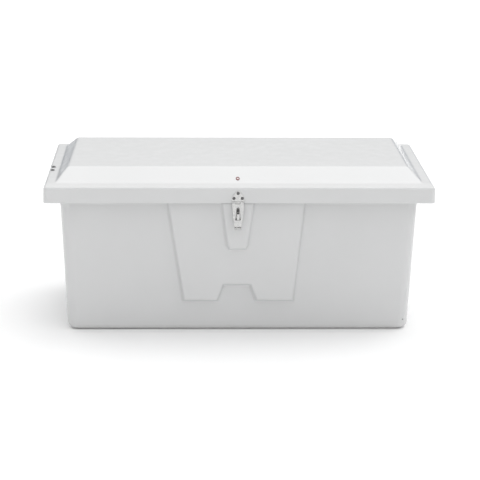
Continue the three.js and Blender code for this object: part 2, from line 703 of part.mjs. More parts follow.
const inwards = (depth) => ([y, z]) => [depth, y, z];
const springNutDepth = wall + bracketThickness + 2 * gap;
add(leftWall, "spring_bracket_body", bodyBracket(), stainless);
addEach(leftWall, "spring_bolt_body", bolt(springNutDepth + nutHeight + 2 * gap),
  bracketPlaces.map(inwards(-gap)), headsToLeft, brightSteel);
addEach(leftWall, "spring_nut_body", nut(), bracketPlaces.map(inwards(springNutDepth)), headsToLeft,
  stainless);
add(leftWall, "spring_stud_lower", lowerStud(), brightSteel);
add(spring, "spring_socket_lower", lowerSocket(), blackPaint);
add(spring, "spring_cylinder", gasCylinder(), blackPaint);
add(spring, "spring_rod", gasRod(), brightSteel);
add(spring, "spring_socket_upper", upperSocket(), blackPaint);
add(chest, "spring_stud_upper", upperStud(), brightSteel);
add(chest, "spring_bracket_lid", lidBracket(), stainless);
addEach(chest, "spring_bolt_lid", ledgeBolt(), ledgePoints, headsUp, brightSteel);
addEach(chest, "spring_nut_lid", nut(ledgeShank, 5.4), ledgeNutPoints, headsUp, stainless);

// The origin goes to the middle of the bounding box's depth.
const middleY = new THREE.Box3().setFromObject(chest, true).getCenter(new THREE.Vector3()).y;
chest.position.y = -middleY;

export default chest;
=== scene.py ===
"""Looks for a fibreglass storage box: moulded shells with soft pressings, a continuous hinge, a hasp
with a turning staple, and a gas spring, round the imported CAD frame. Shapes are worked out in
millimetres about the lid's centre, as the frame was, and CHEST takes them to metres."""

import json
import math

import bmesh
import bpy
import numpy as np
from mathutils import Matrix, Vector


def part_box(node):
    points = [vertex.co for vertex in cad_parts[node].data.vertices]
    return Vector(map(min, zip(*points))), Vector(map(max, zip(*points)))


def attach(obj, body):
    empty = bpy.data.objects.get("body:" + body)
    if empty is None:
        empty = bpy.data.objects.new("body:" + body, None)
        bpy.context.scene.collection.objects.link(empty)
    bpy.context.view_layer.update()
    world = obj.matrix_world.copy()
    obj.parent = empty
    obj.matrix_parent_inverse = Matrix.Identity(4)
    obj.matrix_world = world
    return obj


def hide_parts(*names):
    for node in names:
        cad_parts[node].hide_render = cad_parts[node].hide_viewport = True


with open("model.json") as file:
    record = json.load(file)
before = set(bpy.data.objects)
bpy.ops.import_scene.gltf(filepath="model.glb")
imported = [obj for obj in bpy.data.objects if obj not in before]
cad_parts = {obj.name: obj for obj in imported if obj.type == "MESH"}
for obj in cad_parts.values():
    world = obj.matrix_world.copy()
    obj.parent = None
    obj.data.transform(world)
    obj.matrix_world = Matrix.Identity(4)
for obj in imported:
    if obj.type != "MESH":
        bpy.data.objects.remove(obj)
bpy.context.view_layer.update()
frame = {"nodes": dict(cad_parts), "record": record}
scene = bpy.context.scene

# ---------------------------------------------------------------- the frame's own facts

RECORD = frame["record"]
BODY_OF = {node: body for body, nodes in RECORD["behaviour"]["bodies"].items() for node in nodes}
SLOT_OF = {s["node"]: s["material_slot"] for s in RECORD["subparts"]}

lid_low, lid_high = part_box("lid_shell")
CHEST = Matrix.Scale(0.001, 4) @ Matrix.Translation((0, (lid_low[1] + lid_high[1]) * 500, 0))

# ---------------------------------------------------------------- driving dimensions, in mm

WALL = 5
GAP = 0.3
LID_HALF = (610, 305)
SKIRT_BOTTOM, LEDGE_TOP, SKIRT_FLARE = 435, 486, 1.3
LID_CORNER, LID_EDGE = 14, 9
CROWN_FRONT, CROWN_CREASE, CROWN_BACK = -244, -140, 264  # y of the foot, the crease and the back edge
CREASE_RISE, BACK_RISE, BACK_RUN = 27, 32, 6
CROWN_END, END_RUN = 575, 1.2
LEDGE_FALL = 1.8  # the front ledge falls this far towards the skirt

FOOT, SHOULDER, RIM, MOUTH = (547, 250), (561, 267), (590, 285), (564, 264)
FOOT_RADIUS, BODY_CORNER = 22, 35
SHOULDER_Z, RIM_UNDER, RIM_TOP = 405, 451, 457

HAND_X = -5
RAISE_LOW, RAISE_HIGH, PRESS_RUN = 15, 15, 9
LEDGE_RAISE, LEDGE_RUN = 38, 12
HINGE_Y, HINGE_Z, HINGE_HALF, KNUCKLES = 309.2, SKIRT_BOTTOM, 500, 16
SPRING_X, SPRING_LOWER, SPRING_UPPER = -536, (200, 345), (-62, 450)

WALL_TAN = (SHOULDER[1] - FOOT[1]) / (SHOULDER_Z - FOOT_RADIUS)
FLARE_ANGLE = math.atan(SKIRT_FLARE / (LEDGE_TOP - LID_EDGE - SKIRT_BOTTOM))
FRONT_ANGLE = math.atan(WALL_TAN)
END_ANGLE = math.atan((SHOULDER[0] - FOOT[0]) / (SHOULDER_Z - FOOT_RADIUS))


def frame_at(at, axis="X", angle=0.0, parent=CHEST):
    return parent @ Matrix.Translation(at) @ Matrix.Rotation(angle, 4, axis)


SKIRT_FRONT = frame_at((HAND_X, -LID_HALF[1], SKIRT_BOTTOM), "X", -FLARE_ANGLE)
HINGE_ON_LID = frame_at((0, HINGE_Y, HINGE_Z), "X", FLARE_ANGLE)
HINGE_ON_BODY = frame_at((0, HINGE_Y, HINGE_Z))
FRONT_WALL = frame_at((HAND_X, -SHOULDER[1], SHOULDER_Z), "X", FRONT_ANGLE)
STAPLE_PAD = frame_at((0, -RAISE_LOW - RAISE_HIGH, -7), "X", 0, FRONT_WALL)
SPRING_WALL_X = -FOOT[0] - (SPRING_LOWER[1] - FOOT_RADIUS) * math.tan(END_ANGLE)
LEFT_WALL = frame_at((SPRING_WALL_X, *SPRING_LOWER), "Y", -END_ANGLE)
SPRING_RUN = [b - a for a, b in zip(SPRING_LOWER, SPRING_UPPER)]
SPRING_LENGTH = math.hypot(*SPRING_RUN)
SPRING = frame_at((SPRING_X, *SPRING_LOWER), "X", math.atan2(SPRING_RUN[1], SPRING_RUN[0]))

# ---------------------------------------------------------------- camera, floor and light

camera = bpy.data.objects.new("camera", bpy.data.cameras.new("camera"))
scene.collection.objects.link(camera)
scene.camera = camera
camera.data.lens = 120.34
camera.data.shift_x = 0.04
camera.location = (-0.161, -5.1044, 1.732)
PITCH, TURN = math.radians(90 - 16.4), math.radians(1.178)
camera.rotation_euler = (Matrix.Rotation(PITCH, 3, "X") @ Matrix.Rotation(-TURN, 3, "Y")).to_euler()

scene.view_settings.view_transform = "Standard"
world = scene.world or bpy.data.worlds.new("studio")
scene.world = world
world.use_nodes = True


def studio_light():
    """A white surround: brightest overhead and behind, dimmer to the left, and bluer low down behind."""
    tree = world.node_tree
    ball = tree.nodes["Background"]
    way = tree.nodes.new("ShaderNodeSeparateXYZ")
    tree.links.new(tree.nodes.new("ShaderNodeTexCoord").outputs["Generated"], way.inputs[0])

    def ramp(source, start, end, low, high):
        made = tree.nodes.new("ShaderNodeMapRange")
        made.interpolation_type = "SMOOTHSTEP"
        for socket, value in zip(("From Min", "From Max", "To Min", "To Max"), (start, end, low, high)):
            made.inputs[socket].default_value = value
        tree.links.new(source, made.inputs["Value"])
        return made.outputs[0]

    def product(first, second):
        made = tree.nodes.new("ShaderNodeMath")
        made.operation = "MULTIPLY"
        tree.links.new(first, made.inputs[0])
        tree.links.new(second, made.inputs[1])
        return made.outputs[0]

    mix = tree.nodes.new("ShaderNodeMix")
    mix.data_type = "RGBA"
    behind = ramp(way.outputs["Y"], -0.1, 0.7, 0, 1)
    tree.links.new(product(behind, ramp(way.outputs["Z"], 0.04, 0.22, 1, 0)), mix.inputs[0])
    mix.inputs[6].default_value = (1, 1, 1, 1)
    mix.inputs[7].default_value = (0.3, 0.36, 0.44, 1)
    tree.links.new(mix.outputs[2], ball.inputs["Color"])
    depth = ramp(way.outputs["Y"], -0.7, 0.7, 0.68, 1.44)
    sides = product(depth, ramp(way.outputs["X"], -0.9, 0.2, 0.75, 1.1))
    tree.links.new(product(ramp(way.outputs["Z"], 0.1, 0.75, 0.36, 1.16), sides), ball.inputs["Strength"])


studio_light()


def lamp(name, kind, energy, towards, at=(0, 0, 3), **settings):
    data = bpy.data.lights.new(name, kind)
    data.energy = energy
    for key, value in settings.items():
        setattr(data, key, value)
    made = bpy.data.objects.new(name, data)
    scene.collection.objects.link(made)
    made.location = at
    made.rotation_euler = Vector(towards).to_track_quat("-Z", "Y").to_euler()
    return made


lamp("key", "SUN", 0.5, (-0.4, 0.05, -0.9), angle=math.radians(60))
lamp("front", "SUN", 0.42, (0.05, 0.95, -0.2), angle=math.radians(50))

# ---------------------------------------------------------------- materials


class Look:
    """A procedural material: a Principled shader with noise on its colour, roughness and bump."""

    def __init__(self, name, colour, roughness, metallic=0.0, **sockets):
        self.material = bpy.data.materials.new(name)
        self.material.use_nodes = True
        self.tree = self.material.node_tree
        self.shader = self.tree.nodes["Principled BSDF"]
        self.colour = (*colour, 1)
        self.set("Base Color", self.colour)
        self.set("Roughness", roughness)
        self.set("Metallic", metallic)
        for key, value in sockets.items():
            self.set(key.replace("_", " ").title(), value)
        self.coordinates = self.node("ShaderNodeTexCoord").outputs["Object"]
        self.normal = None

    def set(self, socket, value):
        self.shader.inputs[socket].default_value = value

    def node(self, kind, links=(), **settings):
        made = self.tree.nodes.new(kind)
        for key, value in settings.items():
            if key in made.bl_rna.properties:
                setattr(made, key, value)
            else:
                made.inputs[key.replace("_", " ").title()].default_value = value
        for socket, source in dict(links).items():
            self.tree.links.new(source, made.inputs[socket])
        return made

    def noise(self, scale, detail=3.0, stretch=(1, 1, 1)):
        where = self.node("ShaderNodeMapping", {"Vector": self.coordinates})
        where.inputs["Scale"].default_value = stretch
        made = self.node("ShaderNodeTexNoise", {"Vector": where.outputs[0]}, scale=scale, detail=detail)
        return made.outputs["Fac"]

    def cells(self, scale, stretch=(1, 1, 1), feature="F1"):
        where = self.node("ShaderNodeMapping", {"Vector": self.coordinates})
        where.inputs["Scale"].default_value = stretch
        made = self.node("ShaderNodeTexVoronoi", {"Vector": where.outputs[0]}, scale=scale, feature=feature)
        return made.outputs["Distance"]

    def ranged(self, source, low, high, start=0.3, end=0.7):
        made = self.node("ShaderNodeMapRange", {"Value": source})
        for socket, value in zip(("From Min", "From Max", "To Min", "To Max"), (start, end, low, high)):
            made.inputs[socket].default_value = value
        return made.outputs[0]

    def vary_roughness(self, source, low, high, start=0.3, end=0.7):
        self.tree.links.new(self.ranged(source, low, high, start, end), self.shader.inputs["Roughness"])
        return self

    def vary_colour(self, source, other, low=0.0, high=1.0, start=0.3, end=0.7):
        factor = self.ranged(source, low, high, start, end)
        mix = self.node("ShaderNodeMix", {"Factor": factor}, data_type="RGBA")
        current = self.shader.inputs["Base Color"]
        mix_a = [s for s in mix.inputs if s.name == "A" and s.type == "RGBA"][0]
        mix_b = [s for s in mix.inputs if s.name == "B" and s.type == "RGBA"][0]
        if current.is_linked:
            self.tree.links.new(current.links[0].from_socket, mix_a)
        else:
            mix_a.default_value = self.colour
        mix_b.default_value = (*other, 1)
        self.tree.links.new([s for s in mix.outputs if s.type == "RGBA"][0], current)
        return self

    def bump(self, source, distance, strength=1.0):
        links = {"Height": source}
        if self.normal is not None:
            links["Normal"] = self.normal
        made = self.node("ShaderNodeBump", links)
        made.inputs["Distance"].default_value = distance
        made.inputs["Strength"].default_value = strength
        self.normal = made.outputs[0]
        self.tree.links.new(self.normal, self.shader.inputs["Normal"])
        return self

    def height(self):
        """The share of the way up, from object z."""
        return self.node("ShaderNodeSeparateXYZ", {"Vector": self.coordinates}).outputs["Z"]


def gelcoat_look(name, tint):
    look = Look(name, tint, 0.2, coat_weight=0.35, coat_roughness=0.06)
    look.vary_colour(look.noise(5, 4), tuple(c * 0.975 for c in tint))
    # Painted shade along the floor: the gelcoat is darkened and greyed over its lowest 35 mm, strongest at
    # the foot.
    look.vary_colour(look.height(), (0.6, 0.595, 0.57), 0.28, 0.0, 0.002, 0.035)
    look.vary_roughness(look.noise(38, 5), 0.16, 0.27)
    look.bump(look.noise(9, 2), 0.0009, 0.5).bump(look.noise(330, 2), 0.00006, 0.6)
    return look.material


GELCOAT = gelcoat_look("gelcoat", (0.65, 0.654, 0.656))

laminate = Look("laminate_paint", (0.68, 0.685, 0.67), 0.45)
laminate.vary_colour(laminate.noise(14, 5), (0.62, 0.62, 0.6))
laminate.vary_roughness(laminate.noise(60, 4), 0.36, 0.6)
laminate.bump(laminate.cells(75, (1, 1, 0.35)), 0.0006, 0.5)
laminate.bump(laminate.noise(420, 3, (1, 4, 1)), 0.0002, 0.5)

liner = Look("liner_coat", (0.72, 0.725, 0.715), 0.4)
liner.vary_colour(liner.noise(20, 4), (0.67, 0.67, 0.655))
liner.vary_roughness(liner.noise(90, 4), 0.32, 0.52)
liner.bump(liner.cells(160), 0.0003, 0.5)

foam = Look("foam", (0.69, 0.6, 0.36), 0.9)
foam.vary_colour(foam.noise(50, 4), (0.6, 0.5, 0.28))
foam.bump(foam.cells(350), 0.0006)

rubber = Look("rubber", (0.018, 0.018, 0.019), 0.75)
rubber.vary_colour(rubber.noise(120, 4), (0.035, 0.034, 0.033))
rubber.vary_roughness(rubber.noise(250, 3), 0.6, 0.85)
rubber.bump(rubber.noise(900, 2), 0.00015)

brushed = Look("brushed_stainless", (0.53, 0.53, 0.52), 0.3, 1.0)
brushed.vary_colour(brushed.noise(300, 4, (0.03, 1, 1)), (0.43, 0.43, 0.425))
brushed.vary_roughness(brushed.noise(700, 4, (0.02, 1, 1)), 0.24, 0.42)
brushed.bump(brushed.noise(900, 3, (0.02, 1, 1)), 0.00004)

polished = Look("polished_steel", (0.62, 0.62, 0.61), 0.16, 1.0)
polished.vary_colour(polished.noise(160, 4), (0.5, 0.5, 0.5))
polished.vary_roughness(polished.noise(420, 5), 0.12, 0.3)
polished.bump(polished.noise(1500, 3, (1, 1, 0.1)), 0.00002)

screw = Look("screw_steel", (0.2, 0.2, 0.2), 0.38, 1.0)
screw.vary_colour(screw.noise(400, 4), (0.12, 0.12, 0.12))
screw.vary_roughness(screw.noise(900, 4), 0.3, 0.5)

paint = Look("black_paint", (0.012, 0.012, 0.013), 0.3, coat_weight=0.3)
paint.vary_colour(paint.noise(60, 4), (0.022, 0.022, 0.022))
paint.vary_roughness(paint.noise(200, 4), 0.24, 0.42)
paint.bump(paint.noise(500, 2), 0.00008)

red = Look("red_plastic", (0.22, 0.04, 0.04), 0.4)
red.vary_colour(red.noise(900, 3), (0.17, 0.03, 0.03))
red.vary_roughness(red.noise(1200, 3), 0.28, 0.45)

pale = Look("pale_plastic", (0.72, 0.66, 0.65), 0.3)
pale.vary_colour(pale.noise(900, 3), (0.66, 0.6, 0.59))
pale.vary_roughness(pale.noise(1200, 3), 0.22, 0.4)

FINISHES = {
    "gelcoat": GELCOAT,
    "liner_coat": liner.material,
    "foam": foam.material,
    "rubber": rubber.material,
    "stainless": brushed.material,
    "polished_steel": polished.material,
    "black_paint": paint.material,
    "red_plastic": red.material,
    "pale_plastic": pale.material,
}

# ---------------------------------------------------------------- mesh helpers


def bevelled(made, width, segments=2, angle=30):
    edge = made.modifiers.new("edge", "BEVEL")
    edge.width = width * 0.001
    edge.segments = segments
    edge.limit_method = "ANGLE"
    edge.angle_limit = math.radians(angle)
    edge.harden_normals = True
    return made


def smoothed(mesh, angle=35):
    mesh.polygons.foreach_set("use_smooth", [True] * len(mesh.polygons))
    mesh.set_sharp_from_angle(angle=math.radians(angle))


def piece(name, nodes, points, faces, place=CHEST, angle=35, materials=None, indices=None):
    """One visible piece: a mesh in a frame, on the body and in the slot of the CAD nodes it stands for."""
    nodes = [nodes] if isinstance(nodes, str) else list(nodes)
    where = np.array(place)
    points = np.asarray(points, float) @ where[:3, :3].T + where[:3, 3]
    mesh = bpy.data.meshes.new(name)
    mesh.from_pydata([tuple(p) for p in points], [], [tuple(int(i) for i in f) for f in faces])
    for material in materials or [FINISHES[SLOT_OF[nodes[0]]]]:
        mesh.materials.append(material)
    if indices is not None:
        mesh.polygons.foreach_set("material_index", indices)
    edit = bmesh.new()
    edit.from_mesh(mesh)
    bmesh.ops.remove_doubles(edit, verts=edit.verts, dist=2e-6)
    bmesh.ops.recalc_face_normals(edit, faces=edit.faces)
    edit.to_mesh(mesh)
    edit.free()
    smoothed(mesh, angle)
    made = bpy.data.objects.new(name, mesh)
    scene.collection.objects.link(made)
    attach(made, BODY_OF[nodes[0]])
    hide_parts(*nodes)
    return made


def merge(*solids):
    """Several closed solids as one list of points and faces."""
    points, faces = [], []
    for more_points, more_faces in solids:
        start = len(points)
        points += [tuple(p) for p in more_points]
        faces += [[i + start for i in face] for face in more_faces]
    return points, faces


def moved(solid, at=(0, 0, 0), turn=None):
    points, faces = solid
    matrix = Matrix.Translation(at) @ (turn or Matrix())
    return [tuple(matrix @ Vector(p)) for p in points], faces


TO_X = Matrix.Rotation(-math.pi / 2, 4, "Z")
TO_FRONT = Matrix.Rotation(math.pi, 4, "Z")
TO_LEFT = Matrix.Rotation(math.pi / 2, 4, "Z")
TO_UP = Matrix.Rotation(math.pi / 2, 4, "X")


def revolve(profile, sides=32):
    """Rings about +Y from (radius, y) pairs. A third value of 6 makes that ring a hexagon."""
    points, rings = [], []
    for radius, y, *corners in profile:
        if radius == 0:
            rings.append([len(points)])
            points.append((0, y, 0))
            continue
        ring = []
        for i in range(sides):
            turn = 2 * math.pi * i / sides
            reach = radius
            if corners:
                sector = math.pi / corners[0]
                reach = radius * math.cos(sector) / math.cos((turn % (2 * sector)) - sector)
            ring.append(len(points))
            points.append((reach * math.cos(turn), y, reach * math.sin(turn)))
        rings.append(ring)
    closed = profile[0] == profile[-1]
    faces = []
    for a, b in zip(rings, rings[1:]):
        for i in range(sides):
            j = (i + 1) % sides
            if len(a) == 1:
                faces.append((a[0], b[i], b[j]))
            elif len(b) == 1:
                faces.append((a[i], b[0], a[j]))
            else:
                faces.append((a[i], b[i], b[j], a[j]))
    if not closed:
        for ring in (rings[0], rings[-1]):
            if len(ring) > 1:
                faces.append(ring)
    return points, faces


# A flat outline's two values and its depth as a point, for each axis that it is given thickness along.
LIFTS = {"y": lambda a, b, t: (a, t, b), "x": lambda a, b, t: (t, a, b)}


def extrude(outline, start, end, axis="y"):
    """A flat outline given thickness. axis y takes (x, z) outlines, and x takes (y, z)."""
    lift = LIFTS[axis]
    count = len(outline)
    points = [lift(a, b, t) for t in (start, end) for a, b in outline]
    faces = [(i, (i + 1) % count, (i + 1) % count + count, i + count) for i in range(count)]
    return points, faces + [list(range(count)), list(range(2 * count - 1, count - 1, -1))]


def tube(outer, inner, start, end, axis="y"):
    """A flat outline with one hole, of the same number of points, given thickness."""
    lift = LIFTS[axis]
    n = len(outer)
    points = [lift(a, b, t) for t in (start, end) for loop in (outer, inner) for a, b in loop]
    faces = []
    for i in range(n):
        j = (i + 1) % n
        faces += [(i, j, n + j, n + i), (2 * n + i, 3 * n + i, 3 * n + j, 2 * n + j),
                  (i, 2 * n + i, 2 * n + j, j), (n + i, n + j, 3 * n + j, 3 * n + i)]
    return points, faces


def arc(x, z, radius, begin, finish, steps):
    turns = [math.radians(begin + (finish - begin) * i / steps) for i in range(steps + 1)]
    return [(x + radius * math.cos(t), z + radius * math.sin(t)) for t in turns]


def rounded(half_x, half_z, radius, x=0, z=0, steps=6):
    points = []
    for i, (sx, sz) in enumerate([(1, 1), (-1, 1), (-1, -1), (1, -1)]):
        centre = (x + sx * (half_x - radius), z + sz * (half_z - radius))
        points += arc(*centre, radius, i * 90, i * 90 + 90, steps)
    return points


def cuboid(low, high):
    (x0, y0, z0), (x1, y1, z1) = low, high
    return extrude([(x0, z0), (x1, z0), (x1, z1), (x0, z1)], y0, y1)


def grid_faces(rows, columns, start=0, wrap=True):
    faces = []
    for r in range(rows - 1):
        for c in range(columns if wrap else columns - 1):
            d = (c + 1) % columns
            low, high = start + r * columns, start + (r + 1) * columns
            faces.append((low + c, low + d, high + d, high + c))
    return faces


def boolean(target, solid, place, operation):
    """Cuts a solid from a piece, or joins it on, and keeps the result in the piece's mesh."""
    points, faces = solid
    tool_mesh = bpy.data.meshes.new("tool")
    tool_mesh.from_pydata([tuple(place @ Vector(p)) for p in points], [], faces)
    edit = bmesh.new()
    edit.from_mesh(tool_mesh)
    bmesh.ops.recalc_face_normals(edit, faces=edit.faces)
    edit.to_mesh(tool_mesh)
    edit.free()
    tool = bpy.data.objects.new("tool", tool_mesh)
    scene.collection.objects.link(tool)
    step = target.modifiers.new("boolean", "BOOLEAN")
    step.object, step.operation, step.solver = tool, operation, "EXACT"
    made = bpy.data.meshes.new_from_object(target.evaluated_get(bpy.context.evaluated_depsgraph_get()))
    target.modifiers.clear()
    target.data = made
    bpy.data.objects.remove(tool)
    bpy.data.meshes.remove(tool_mesh)


def refined(node, width, segments=2, material=None):
    """A CAD node's own shape with merged faces and rounded edges."""
    edit = bmesh.new()
    edit.from_mesh(frame["nodes"][node].data)
    bmesh.ops.remove_doubles(edit, verts=edit.verts, dist=2e-6)
    bmesh.ops.dissolve_limit(edit, angle_limit=math.radians(1), verts=edit.verts, edges=edit.edges)
    points = [tuple(v.co) for v in edit.verts]
    faces = [[v.index for v in f.verts] for f in edit.faces]
    edit.free()
    return bevelled(piece(node + "_finish", node, points, faces, Matrix()), width, segments)


# ---------------------------------------------------------------- rounded rectangles and soft steps


def soft_ramp(distance, run, fillet):
    """From 0 to 1 over a run centred on distance 0, with both ends rounded."""
    def ease(u):
        return np.where(u < -fillet, 0, np.where(u > fillet, u, (u + fillet) ** 2 / (4 * fillet)))
    return (ease(distance + run / 2) - ease(distance - run / 2)) / run


def soft_max(a, b, k):
    reach = np.maximum(k - np.abs(a - b), 0)
    return np.maximum(a, b) + reach * reach / (4 * np.maximum(k, 1e-6))


def soft_min(a, b, k):
    return -soft_max(-a, -b, k)


def inside(x, z, outline):
    """Signed distance into a polygon, positive inside."""
    corners = np.array(outline, float)
    best = np.full(x.shape, 1e9)
    crossing = np.zeros(x.shape, bool)
    for (x0, z0), (x1, z1) in zip(corners, np.roll(corners, -1, 0)):
        ex, ez = x1 - x0, z1 - z0
        share = np.clip(((x - x0) * ex + (z - z0) * ez) / (ex * ex + ez * ez), 0, 1)
        best = np.minimum(best, np.hypot(x - x0 - share * ex, z - z0 - share * ez))
        if z0 != z1:
            crossing ^= ((z0 > z) != (z1 > z)) & (x < ex * (z - z0) / ez + x0)
    return np.where(crossing, best, -best)


def spread(*spans):
    """Values along a line, from (start, end, step) spans that follow each other."""
    values = []
    for start, end, step in spans:
        count = max(1, round(abs(end - start) / step))
        values += list(np.linspace(start, end, count + 1)[:-1])
    return np.array(values + [spans[-1][1]])


# ---------------------------------------------------------------- body

# x from the hasp's centre line and z from the shoulder
LOW_OUTLINE = [(212, 34), (-221, 34), (-170, -302), (-62, -302),
               (-42, -248), (42, -248), (62, -302), (180, -302)]
HIGH_OUTLINE = [(52, 34), (-52, 34), (-33, -112), (-26, -124), (26, -124), (33, -112)]
LEDGE_OUTLINE = [(530, 27), (-530, 27), (-530, -17), (530, -17)]
CORNER_STEPS = 16


def front_columns(z, straight):
    """x of the front wall's columns at one height. They follow the pressings' slanting edges."""
    at = z - SHOULDER_Z
    near = np.interp(at, (-302, -248, -118, 34), (62, 42, 31, 52))
    cluster = np.array([-10, -8, -6.5, -5, -3.5, -2, -0.5, 1, 2.5, 4, 5.5, 7, 9])

    def half(far):
        return np.concatenate([
            np.linspace(0, near - 10, 5)[:-1], near + cluster, np.linspace(near + 9, far - 10, 12)[1:-1],
            far + cluster, np.linspace(far + 9, straight - abs(HAND_X), 10)[1:-1],
        ])

    left, right = half(np.interp(at, (-302, 34), (170, 221))), half(np.interp(at, (-302, 34), (180, 212)))
    return np.concatenate([[-straight], HAND_X - left[:0:-1], HAND_X + right, [straight]])


BACK_SHARE = spread((-1, -0.97, 0.004), (-0.97, 0.97, 0.08), (0.97, 1, 0.004))
SIDE_SHARE = np.linspace(-1, 1, 9)


def body_ring(half, radius, z):
    """A level ring of the body, from the left end of the front wall round past the right."""
    a, b = half[0] - radius, half[1] - radius
    loop = [(x, -half[1]) for x in front_columns(z, a)]
    turns = np.linspace(0, math.pi / 2, CORNER_STEPS + 1)[1:-1]
    loop += [(a + radius * math.sin(t), -b - radius * math.cos(t)) for t in turns]
    loop += [(half[0], b * s) for s in SIDE_SHARE]
    loop += [(a + radius * math.cos(t), b + radius * math.sin(t)) for t in turns]
    loop += [(-a * s, half[1]) for s in BACK_SHARE]
    loop += [(-a - radius * math.sin(t), b + radius * math.cos(t)) for t in turns]
    loop += [(-half[0], -b * s) for s in SIDE_SHARE]
    loop += [(-a - radius * math.cos(t), -b - radius * math.sin(t)) for t in turns]
    return np.array([(x, y, z) for x, y in loop])


def pressed(ring, inset):
    """Adds the pressings to a ring, for a skin this far inside the outer one."""
    x, y, z = ring.T
    at = z - SHOULDER_Z
    shrink = inset * 0.57
    fillet = 3.2 if inset == 0 else 1.5
    rise = RAISE_LOW * soft_ramp(inside(x - HAND_X, at, LOW_OUTLINE) - shrink, PRESS_RUN, fillet)
    rise = rise + RAISE_HIGH * soft_ramp(inside(x - HAND_X, at, HIGH_OUTLINE) - shrink, PRESS_RUN, fillet)
    ledge = LEDGE_RAISE * soft_ramp(inside(x, at, LEDGE_OUTLINE) - shrink, LEDGE_RUN, fillet)
    wall = SHOULDER[1] - inset + at * WALL_TAN
    blend = np.clip(at / 4, 0, 5)
    front, back = y < -200, y > 200
    out = np.abs(y)
    beyond = np.maximum(out - wall, 0)
    for side, height in ((front, rise / math.cos(FRONT_ANGLE)), (back, ledge)):
        lifted = np.where(at > 0, wall + soft_max(beyond, height, blend), out + height)
        out = np.where(side & (height > 0), np.maximum(out, lifted), out)
    return np.column_stack([x, np.sign(y) * out, z])


def body_rows(inset):
    """Half sizes, corner radius and height of each ring of one skin, from the ground up."""
    rows = []
    radius = FOOT_RADIUS - inset
    for angle in np.linspace(0, math.pi / 2, 9):
        inwards = radius * (1 - math.sin(angle)) + inset
        rows.append(((FOOT[0] - inwards, FOOT[1] - inwards), BODY_CORNER - inwards,
                     inset + radius * (1 - math.cos(angle))))
    heights = spread((FOOT_RADIUS, 92, 17.5), (92, 113, 1.75), (113, 148, 9), (148, 172, 1.75),
                     (172, 269, 12), (269, 293, 1.75), (293, 378, 12), (378, 399, 1.75),
                     (399, SHOULDER_Z, 3))
    for z in heights[1:]:
        share = (z - FOOT_RADIUS) / (SHOULDER_Z - FOOT_RADIUS)
        half = tuple(f + (s - f) * share - inset for f, s in zip(FOOT, SHOULDER))
        rows.append((half, BODY_CORNER - inset, z))
    return rows


def flare_rows():
    rows = []
    for z in spread((SHOULDER_Z, RIM_UNDER, 2))[1:]:
        t = (z - SHOULDER_Z) / (RIM_UNDER - SHOULDER_Z)
        share = 0.45 * t ** 2 + 0.55 * t ** 6
        half = tuple(s + (r - s) * share for s, r in zip(SHOULDER, RIM))
        rows.append((half, BODY_CORNER + 10 * share, z))
    return rows


def throat_rows():
    """The inner skin above the shoulder, up to the mouth."""
    rows = []
    for z in spread((SHOULDER_Z, RIM_TOP - 2, 3))[1:]:
        t = (z - SHOULDER_Z) / (RIM_TOP - SHOULDER_Z)
        half = tuple(s - WALL + (m - s + WALL) * t ** 1.6 for s, m in zip(SHOULDER, MOUTH))
        rows.append((half, BODY_CORNER - WALL + WALL * t, z))
    return rows


def inner_limit(ring):
    """Keeps the inner skin's pressings inside the mouth's edge near the top."""
    x, y, z = ring.T
    share = np.clip((z - SHOULDER_Z - 20) / 26, 0, 1)
    limit = 400 + (MOUTH[1] - 400) * share
    return np.column_stack([x, np.sign(y) * np.minimum(np.abs(y), np.where(share > 0, limit, 400)), z])


def body_shell():
    outer = [pressed(body_ring(*row), 0) for row in body_rows(0) + flare_rows()]
    lip = [((RIM[0], RIM[1]), 45, 454), ((RIM[0] - 0.6, RIM[1] - 0.6), 44.4, 456.2),
           ((RIM[0] - 2, RIM[1] - 2), 43, RIM_TOP), ((MOUTH[0] + 2, MOUTH[1] + 2), 37, RIM_TOP),
           ((MOUTH[0] + 0.5, MOUTH[1] + 0.5), 35.5, 456.5), (MOUTH, 35, RIM_TOP - 2)]
    over = [body_ring(*row) for row in lip]
    inner_rows = body_rows(WALL) + throat_rows()
    inner = [inner_limit(pressed(body_ring(*row), WALL)) for row in inner_rows][::-1]
    rings = outer + over + inner[1:]
    count = len(rings[0])
    points = np.concatenate(rings)
    faces = grid_faces(len(rings), count)
    inside_from = (len(outer) + len(over) - 2) * count
    indices = [1 if min(f) >= inside_from else 0 for f in faces]
    faces += [list(range(count))[::-1], list(range((len(rings) - 1) * count, len(rings) * count))]
    indices += [0, 1]
    made = piece("body_moulding", "body_shell", points, faces, angle=50,
                 materials=[GELCOAT, laminate.material], indices=indices)
    boolean(made, revolve([(0, -20), (4.6, -20), (4.6, 60), (0, 60)], 24), STAPLE_PAD, "DIFFERENCE")
    weep = CHEST @ Matrix.Translation((FOOT[0] - BODY_CORNER, BODY_CORNER - FOOT[1], 34)) \
        @ Matrix.Rotation(math.radians(-60), 4, "Z")
    drill = revolve([(0, -40), (2.4, -40), (2.4, 40), (0, 40)], 20)
    boolean(made, moved(drill, (35, 0, 0), TO_X), weep, "DIFFERENCE")
    smoothed(made.data, 50)


body_shell()

# ---------------------------------------------------------------- lid


